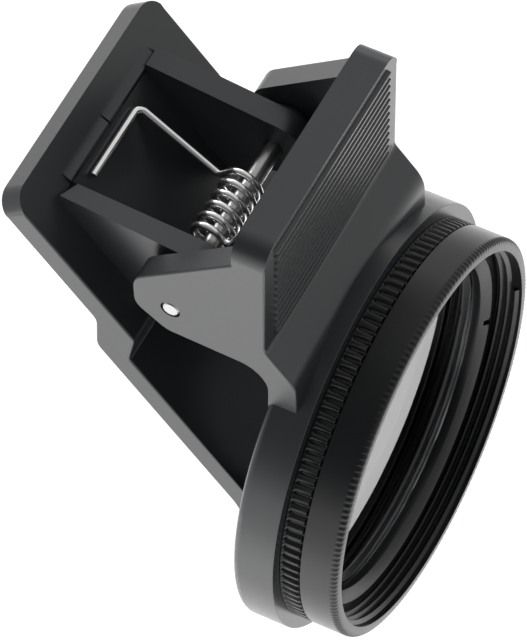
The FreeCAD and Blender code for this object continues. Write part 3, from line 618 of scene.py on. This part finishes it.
def spin_outline(steps, degrees=360):
    """Turns the outline that is open in edit mode about the filter's axis."""
    bpy.ops.mesh.select_all(action="SELECT")
    bpy.ops.mesh.spin(steps=steps, angle=math.radians(degrees), center=(0, 0, 0), axis=(0, 1, 0))
    bpy.ops.mesh.select_all(action="SELECT")
    bpy.ops.mesh.remove_doubles(threshold=SPUN_DOUBLES * MM)


def close_up(piece):
    """Merges doubles, points all faces outwards and leaves edit mode."""
    bpy.ops.mesh.select_all(action="SELECT")
    bpy.ops.mesh.remove_doubles(threshold=RING_DOUBLES * MM)
    bpy.ops.mesh.normals_make_consistent(inside=False)
    bpy.ops.object.mode_set(mode="OBJECT")


# %% Sink a groove and repeat it round the ring
def repeat_round(piece, count):
    """Copies a sector round the filter's axis until the ring is closed."""
    bpy.ops.object.mode_set(mode="OBJECT")
    bpy.ops.object.empty_add()
    step = bpy.context.object
    step.rotation_euler = (0, 2 * math.pi / count, 0)
    bpy.context.view_layer.update()
    alone(piece)
    ring = piece.modifiers.new("round", "ARRAY")
    ring.use_relative_offset = False
    ring.use_object_offset = True
    ring.offset_object = step
    ring.count = count
    bpy.ops.object.modifier_apply(modifier=ring.name)
    bpy.data.objects.remove(step)
    bpy.ops.object.mode_set(mode="EDIT")


def sink(piece, places, depth):
    """Moves the vertices that pass a test towards the filter's axis, by depth millimetres."""
    mesh = bmesh.from_edit_mesh(piece.data)
    for vertex in mesh.verts:
        angle = math.degrees(math.atan2(vertex.co.z, vertex.co.x))
        radius = math.hypot(vertex.co.x, vertex.co.z)
        move = places(angle, radius / MM, vertex.co.y / MM) * depth * MM
        vertex.co.x *= (radius - move) / radius
        vertex.co.z *= (radius - move) / radius
    bmesh.update_edit_mesh(piece.data)


# %% [markdown]
# ## The rotating front ring
# The ring that turns holds the glass. Its round lip has a fine knurl at the front, its mouth is
# bored for a thread, and its sleeve turns inside the base ring, where a snap ring in a groove
# keeps it. One groove of the knurl is modelled on a narrow sector, and the sector is repeated.
# The steps round an edge say how far in from the outside and how far back each corner lies, and
# one more loop behind the knurl keeps the shading of the smooth part clean.

# %% The front ring's outline
RING_OUTSIDE = 19.5
RING_FRONT = -10.35
RING_REAR = -6.69
RING_CORNER = 0.08
LIP_STEPS = ((0.45, 0), (0.22, 0.06), (0.06, 0.22), (0, 0.45))
KNURL_END = RING_FRONT + 0.62
KNURL_HOLD = 0.1
THREAD_ROOT = 18.38
MOUTH_CORNER = (0.03, 0.15)
THREAD_REAR = -7.89
RETAINER_SEAT = 17.2
GLASS_SEAT = 16.65
GLASS_SEAT_FRONT = -6.39
LEDGE_INSIDE = 15.8
LEDGE_FRONT = -4.69
SLEEVE_OUTSIDE = 17.6
SLEEVE_REAR = -4.19
SNAP_FRONT = -5.99
SNAP_REAR = -5.29
SNAP_BOTTOM = 17.3
ring_outline = [(THREAD_ROOT - MOUTH_CORNER[0], RING_FRONT)]
ring_outline += [(RING_OUTSIDE - inwards, RING_FRONT + back) for inwards, back in LIP_STEPS]
ring_outline += [
    (RING_OUTSIDE, KNURL_END), (RING_OUTSIDE, KNURL_END + KNURL_HOLD),
    (RING_OUTSIDE, RING_REAR - RING_CORNER), (RING_OUTSIDE - RING_CORNER, RING_REAR),
    (SLEEVE_OUTSIDE, RING_REAR), (SLEEVE_OUTSIDE, SNAP_FRONT), (SNAP_BOTTOM, SNAP_FRONT),
    (SNAP_BOTTOM, SNAP_REAR), (SLEEVE_OUTSIDE, SNAP_REAR), (SLEEVE_OUTSIDE, SLEEVE_REAR),
    (LEDGE_INSIDE, SLEEVE_REAR), (LEDGE_INSIDE, LEDGE_FRONT), (GLASS_SEAT, LEDGE_FRONT),
    (GLASS_SEAT, GLASS_SEAT_FRONT), (RETAINER_SEAT, GLASS_SEAT_FRONT),
    (RETAINER_SEAT, THREAD_REAR), (THREAD_ROOT, THREAD_REAR),
    (THREAD_ROOT, RING_FRONT + MOUTH_CORNER[1]),
]
print("corners of the front ring's outline:", len(ring_outline))

# %% The front ring's knurl
GROOVES = 204
GROOVE_STEPS = 4
GROOVE_DEPTH = 0.13
GROOVE_END = RING_FRONT + 0.5
GROOVE_INSIDE = 19.0
SECTOR = 360 / GROOVES
front_ring = draw_outline("front_ring_knurled", ring_outline)
spin_outline(GROOVE_STEPS, SECTOR)


def groove_share(angle, radius, along):
    """How deep the knurl's groove is at a point of the sector, from 0 to 1."""
    turn = abs(angle) / SECTOR
    if radius < GROOVE_INSIDE or along > GROOVE_END:
        return 0.0
    return 1 - abs(turn - 0.5) * 2


sink(front_ring, groove_share, GROOVE_DEPTH)
repeat_round(front_ring, GROOVES)
close_up(front_ring)
finish_piece(front_ring, ring_black, "filter_front", angle=40)
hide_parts("filter_front_ring")

# %% [markdown]
# ## The thread in the ring's mouth
# Another filter can be screwed into the front ring. Its thread is one ridge that winds round the
# bore, so a small outline of the ridge is swept along a helix with the Screw modifier. The outline
# is the same on both sides of the ridge's middle, and its foot is sunk a little into the bore.

# %% Inner thread
THREAD_PITCH = 0.75
THREAD_CREST = 18.05
THREAD_START = -9.75
THREAD_TURNS = 2.6
TURN_STEPS = 160
RIDGE_SINK = 0.06
RIDGE_CORNER = 0.04
RIDGE_HALVES = ((THREAD_ROOT + RIDGE_SINK, 0.35), (THREAD_CREST + RIDGE_CORNER, 0.07),
                (THREAD_CREST, 0.03))
ridge_outline = [(radius, THREAD_START - half) for radius, half in RIDGE_HALVES]
ridge_outline += [(radius, THREAD_START + half) for radius, half in reversed(RIDGE_HALVES)]
thread = draw_outline("front_ring_thread", ridge_outline)
bpy.ops.object.mode_set(mode="OBJECT")
helix = thread.modifiers.new("helix", "SCREW")
helix.axis = "Y"
helix.angle = 2 * math.pi * THREAD_TURNS
helix.screw_offset = THREAD_PITCH * THREAD_TURNS * MM
helix.steps = int(TURN_STEPS * THREAD_TURNS)
helix.render_steps = helix.steps
alone(thread)
bpy.ops.object.modifier_apply(modifier=helix.name)
bpy.ops.object.mode_set(mode="EDIT")
bpy.ops.mesh.select_mode(type="EDGE")
bpy.ops.mesh.select_all(action="DESELECT")
bpy.ops.mesh.select_non_manifold()
bpy.ops.mesh.edge_face_add()
close_up(thread)
finish_piece(thread, ring_black, "filter_front")

# %% [markdown]
# ## The base ring
# The ring next to the collar has coarser slots for the fingertips. Again one slot is made and
# the sector is repeated.

# %% The base ring's outline
BASE_FRONT = -6.59
BASE_REAR = -4.69
BASE_BORE = 17.7
BASE_SNAP_BOTTOM = 18.0
FRONT_STEPS = ((0.2, 0), (0.04, 0.09), (0, 0.19))
REAR_STEPS = ((0, 0.33), (0, 0.21), (0, 0.06), (0.06, 0))
SPIGOT_OUTSIDE = 18.45
SPIGOT_REAR = -2.69
SPIGOT_INSIDE = 16.2
SHOULDER = -4.09
base_outline = [(BASE_BORE, BASE_FRONT)]
base_outline += [(RING_OUTSIDE - inwards, BASE_FRONT + back) for inwards, back in FRONT_STEPS]
base_outline += [(RING_OUTSIDE - inwards, BASE_REAR - ahead) for inwards, ahead in REAR_STEPS]
base_outline += [
    (SPIGOT_OUTSIDE, BASE_REAR), (SPIGOT_OUTSIDE, SPIGOT_REAR), (SPIGOT_INSIDE, SPIGOT_REAR),
    (SPIGOT_INSIDE, SHOULDER), (BASE_BORE, SHOULDER), (BASE_BORE, SNAP_REAR),
    (BASE_SNAP_BOTTOM, SNAP_REAR), (BASE_SNAP_BOTTOM, SNAP_FRONT), (BASE_BORE, SNAP_FRONT),
]
print("corners of the base ring's outline:", len(base_outline))

# %% The base ring's slots
SLOTS = 120
SLOT_STEPS = 8
SLOT_COLUMNS = {2: 0.35, 3: 0.9, 4: 1.0, 5: 0.9, 6: 0.35}
SLOT_DEPTH = 0.34
SLOT_INSIDE = 19
SLOT_END = -4.95
FACE_END = BASE_FRONT + 0.04
FACE_SHARE = 0.55
SLOT_SECTOR = 360 / SLOTS
base_ring = draw_outline("base_ring_knurled", base_outline)
spin_outline(SLOT_STEPS, SLOT_SECTOR)


def slot_share(angle, radius, along):
    """How deep the finger slot is at a point of the sector, from 0 to 1."""
    column = round(abs(angle) / SLOT_SECTOR * SLOT_STEPS)
    depth = SLOT_COLUMNS.get(column, 0.0)
    if radius < SLOT_INSIDE or along > SLOT_END:
        return 0.0
    if along < FACE_END:
        return depth * FACE_SHARE
    return depth


sink(base_ring, slot_share, SLOT_DEPTH)
repeat_round(base_ring, SLOTS)
close_up(base_ring)
finish_piece(base_ring, ring_black, "filter_base", angle=40)
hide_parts("filter_base_ring")

# %% [markdown]
# ## The retaining ring and the glass
# The glass lies on a ledge and a thin ring holds it there. The ring's face is a shallow cone
# that catches the light, with two notches for a spanner.

# %% Retaining ring
ROUND_STEPS = 256
RETAINER_OUTSIDE = 17.15
RETAINER_INSIDE = 16.03
RETAINER_FRONT = -7.89
RETAINER_REAR = -6.44
CONE_FOOT = -7.22
retainer = draw_outline("glass_retainer", [
    (RETAINER_OUTSIDE, RETAINER_FRONT + 0.02), (RETAINER_OUTSIDE - 0.02, RETAINER_FRONT),
    (RETAINER_OUTSIDE - 0.1, RETAINER_FRONT + 0.01), (RETAINER_INSIDE + 0.03, CONE_FOOT - 0.05),
    (RETAINER_INSIDE, CONE_FOOT), (RETAINER_INSIDE, RETAINER_REAR),
    (RETAINER_OUTSIDE, RETAINER_REAR),
])
spin_outline(ROUND_STEPS)
close_up(retainer)

# %% The spanner notches
NOTCH_TURN = math.radians(-14)
NOTCH_RADIUS = 16.95
NOTCH_FRONT = -7.9
NOTCH_SIZE = Vector((0.9, 1.0, 0.62)) * MM
for half_turn in (0, math.pi):
    bpy.ops.object.select_all(action="DESELECT")
    angle = NOTCH_TURN + half_turn
    middle = Vector((NOTCH_RADIUS * math.cos(angle), NOTCH_FRONT, NOTCH_RADIUS * math.sin(angle)))
    bpy.ops.mesh.primitive_cube_add(size=1, location=middle * MM, rotation=(0, -angle, 0),
                                    scale=NOTCH_SIZE)
    cutter = bpy.context.object
    alone(retainer)
    cut = retainer.modifiers.new("notch", "BOOLEAN")
    cut.operation = "DIFFERENCE"
    cut.object = cutter
    bpy.ops.object.modifier_apply(modifier=cut.name)
    bpy.data.objects.remove(cutter)
finish_piece(retainer, ring_black, "filter_front")
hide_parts("glass_retaining_ring")

# %% Filter glass disc
GLASS_RADIUS = 16.6
GLASS_ROUNDING = 0.15
glass_low, glass_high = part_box("filter_glass")
bpy.ops.object.select_all(action="DESELECT")
bpy.ops.mesh.primitive_cylinder_add(vertices=ROUND_STEPS, radius=GLASS_RADIUS * MM,
                                    depth=glass_high.y - glass_low.y,
                                    location=(0, (glass_low.y + glass_high.y) / 2, 0),
                                    rotation=(math.pi / 2, 0, 0))
glass = bpy.context.object
glass.name = "filter_glass_disc"
bpy.ops.object.transform_apply(location=True, rotation=True, scale=True)
soften(glass, lambda place: True, GLASS_ROUNDING)
finish_piece(glass, dark_glass, "filter_front")
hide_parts("filter_glass")

# %% [markdown]
# ## The spring
# The photograph's wire looks a little stouter than the imported one. A copy of the spring keeps the
# whole path of the wire, and every point of its skin is moved outwards along its normal.

# %% The bent wire
WIRE_GROWTH = 0.05
spring = mesh_copy("torsion_spring_wire", nodes["torsion_spring"])
bpy.ops.object.mode_set(mode="EDIT")
bpy.ops.mesh.select_all(action="SELECT")
bpy.ops.mesh.normals_make_consistent(inside=False)
bpy.ops.transform.shrink_fatten(value=WIRE_GROWTH * MM)
bpy.ops.object.mode_set(mode="OBJECT")
finish_piece(spring, spring_bright, None)
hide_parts("torsion_spring")
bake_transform(spring)

# %% [markdown]
# ## The pieces that keep their solids
# The pin, the snap ring and the pads already have their full shape, so they only take their
# finish.

# %% Finishes for the kept solids
KEPT_SOLIDS = {"pivot_pin": pin_steel, "snap_ring": spring_bright,
               "front_pad": pad_rubber, "rear_pad": pad_rubber}
for name, finish in KEPT_SOLIDS.items():
    nodes[name].material_slots[0].material = finish.material
    print(name, "takes", finish.material.name)

# %% [markdown]
# ## The floor
# The clip was photographed on white, without a visible shadow, so it hangs above a floor that is
# white to the camera. In a reflection the floor is bright near the clip, like a lit table, and
# darker further away.

# %% Floor
FLOOR_HEIGHT = -75 * MM
FLOOR_SIZE = 1.6
FLOOR_GLOW = 0.66
TABLE_GLOW = 1.2
ROOM_GLOW = 0.45
TABLE_NEAR = 120 * MM
TABLE_FAR = 240 * MM
bpy.ops.object.select_all(action="DESELECT")
bpy.ops.mesh.primitive_plane_add(size=FLOOR_SIZE, location=(0, 0, FLOOR_HEIGHT))
floor = bpy.context.object
floor.name = "floor"
white_floor = Finish("white floor", colour=(0.8, 0.8, 0.8), roughness=1.0, Specular_IOR_Level=0.0,
                     Emission_Strength=1.0)
seen = white_floor.seen()
mirrored = white_floor.mirrored()
away = white_floor.length(white_floor.object_place())
table = white_floor.ramp(away, TABLE_NEAR, TABLE_FAR, TABLE_GLOW, ROOM_GLOW)
white_floor.set("Emission Color", seen * FLOOR_GLOW + (1 - seen) * mirrored * table)
floor.data.materials.append(white_floor.material)
white_floor.tell()

# %% [markdown]
# ## The room
# The black plastic shows its room more than its own colour. The world is white to the camera. In a
# reflection it is dim on the left, apart from a bright band near the horizon, and lighter on the
# right. For plain light it is the same from all sides.

# %% World
SKY_LIGHT = 0.42
SKY_RIGHT = 0.68
SKY_LEFT = 0.16
SKY_LEFT_LOW = 0.95
BAND_LOW = -0.1
BAND_HIGH = 0.4
LEFT_UNTIL = -0.6
RIGHT_FROM = 0.45
world = bpy.data.worlds.new("dim room")
bpy.context.scene.world = world
world.use_nodes = True
sky = Nodes(world.node_tree)
right, up = sky.add("SeparateXYZ", ("X", "Z"), Vector=sky.add("TexCoord", "Generated"))
seen = sky.seen()
mirrored = sky.mirrored()
left = sky.ramp(up, BAND_LOW, BAND_HIGH, SKY_LEFT_LOW, SKY_LEFT)
rightness = sky.ramp(right, LEFT_UNTIL, RIGHT_FROM, 0.0, 1.0)
room = left + rightness * (SKY_RIGHT - left)
level = seen + (1 - seen) * (mirrored * room + (1 - mirrored) * SKY_LIGHT)
backdrop = sky.tree.nodes["Background"]
backdrop.inputs["Color"].default_value = (1, 1, 1, 1)
sky.feed(backdrop.inputs["Strength"], level)
print("world nodes:", len(sky.tree.nodes))

# %% [markdown]
# ## The soft panels
# Three rectangular lamps stand for what was bright round the clip: a wall on the right, the lit
# table below it on the left, and a wall behind, high enough to reach the pin and the coil over the
# rear lever. The camera doesn't see the lamps themselves.

# %% Soft panels
PANEL_AIM = Vector((0, 0, 10)) * MM


def soft_panel(name, place, width, height, brightness):
    """A rectangular lamp that faces the clip; brightness is how white it looks when mirrored."""
    bpy.ops.object.light_add(type="AREA")
    lamp = bpy.context.object
    lamp.name = name
    lamp.data.shape = "RECTANGLE"
    lamp.data.size = width * MM
    lamp.data.size_y = height * MM
    lamp.data.energy = brightness * math.pi * width * height * MM * MM
    lamp.location = Vector(place) * MM
    towards = (PANEL_AIM - lamp.location).normalized()
    lamp.rotation_euler = towards.to_track_quat("-Z", "Y").to_euler()
    lamp.visible_camera = False
    print(name, "energy in watts:", round(lamp.data.energy, 3))


soft_panel("right panel", place=(330, 300, 150), width=380, height=300, brightness=1.4)
soft_panel("light table", place=(-85, 10, -73.5), width=190, height=250, brightness=0.7)
soft_panel("back panel", place=(290, 480, 270), width=250, height=250, brightness=3.6)

# %% [markdown]
# ## View settings
# The Standard view keeps the colours as they are written.

# %% View
bpy.context.scene.view_settings.view_transform = "Standard"
